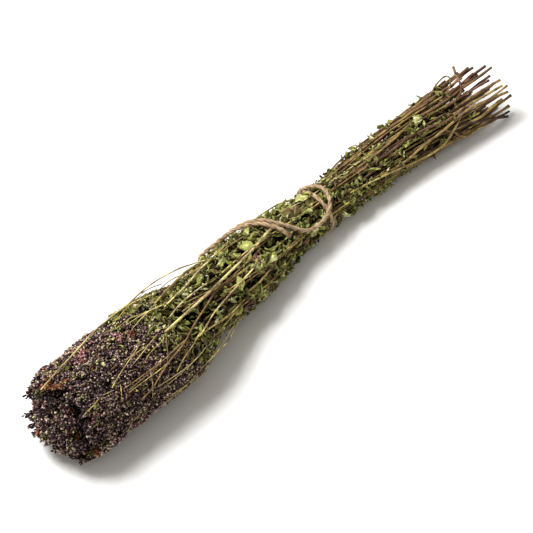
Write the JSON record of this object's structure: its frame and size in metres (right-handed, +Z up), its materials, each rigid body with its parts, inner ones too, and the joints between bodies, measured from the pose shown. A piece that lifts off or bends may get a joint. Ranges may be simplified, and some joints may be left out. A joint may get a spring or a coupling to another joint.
{
  "type": "oregano bundle",
  "caption": "Bundle of dried oregano lying on its side, with flower heads at one end, leafy stems cut at the other and a tight twine tie with a loose end.",
  "frame": {"origin": "centre of the bundle's bounding box, on the surface that it lies on", "axes": "+X along the bundle towards the cut ends, with the flower heads at -X; +Z up from the surface"},
  "size_m": [0.4003, 0.0631, 0.0543],
  "materials": {
    "leafy_stem": "dry and matte",
    "flower_head": "dry and matte",
    "twine": "rough jute fibre"
  },
  "bodies": {
    "root": {"flower_head_1_01": "flower_head", "flower_head_1_02": "flower_head", "flower_head_1_03": "flower_head", "flower_head_1_04": "flower_head", "flower_head_2_01": "flower_head", "flower_head_2_02": "flower_head", "flower_head_2_03": "flower_head", "flower_head_2_04": "flower_head", "flower_head_2_05": "flower_head", "flower_head_2_06": "flower_head", "flower_head_2_07": "flower_head", "flower_head_2_08": "flower_head", "flower_head_3_01": "flower_head", "flower_head_3_02": "flower_head", "flower_head_3_03": "flower_head", "flower_head_3_04": "flower_head", "flower_head_3_05": "flower_head", "flower_head_3_06": "flower_head", "flower_head_3_07": "flower_head", "flower_head_3_08": "flower_head", "flower_head_3_09": "flower_head", "flower_head_3_10": "flower_head", "flower_head_3_11": "flower_head", "flower_head_3_12": "flower_head", "flower_head_3_13": "flower_head", "flower_head_3_14": "flower_head", "flower_head_3_15": "flower_head", "leafy_stem_1_01": "leafy_stem", "leafy_stem_1_02": "leafy_stem", "leafy_stem_1_03": "leafy_stem", "leafy_stem_1_04": "leafy_stem", "leafy_stem_2_01": "leafy_stem", "leafy_stem_2_02": "leafy_stem", "leafy_stem_2_03": "leafy_stem", "leafy_stem_2_04": "leafy_stem", "leafy_stem_2_05": "leafy_stem", "leafy_stem_2_06": "leafy_stem", "leafy_stem_2_07": "leafy_stem", "leafy_stem_2_08": "leafy_stem", "leafy_stem_3_01": "leafy_stem", "leafy_stem_3_02": "leafy_stem", "leafy_stem_3_03": "leafy_stem", "leafy_stem_3_04": "leafy_stem", "leafy_stem_3_05": "leafy_stem", "leafy_stem_3_06": "leafy_stem", "leafy_stem_3_07": "leafy_stem", "leafy_stem_3_08": "leafy_stem", "leafy_stem_3_09": "leafy_stem", "leafy_stem_3_10": "leafy_stem", "leafy_stem_3_11": "leafy_stem", "leafy_stem_3_12": "leafy_stem", "leafy_stem_3_13": "leafy_stem", "leafy_stem_3_14": "leafy_stem", "leafy_stem_3_15": "leafy_stem", "twine_loose_end": "twine", "twine_tie": "twine"}
  },
  "joints": []
}
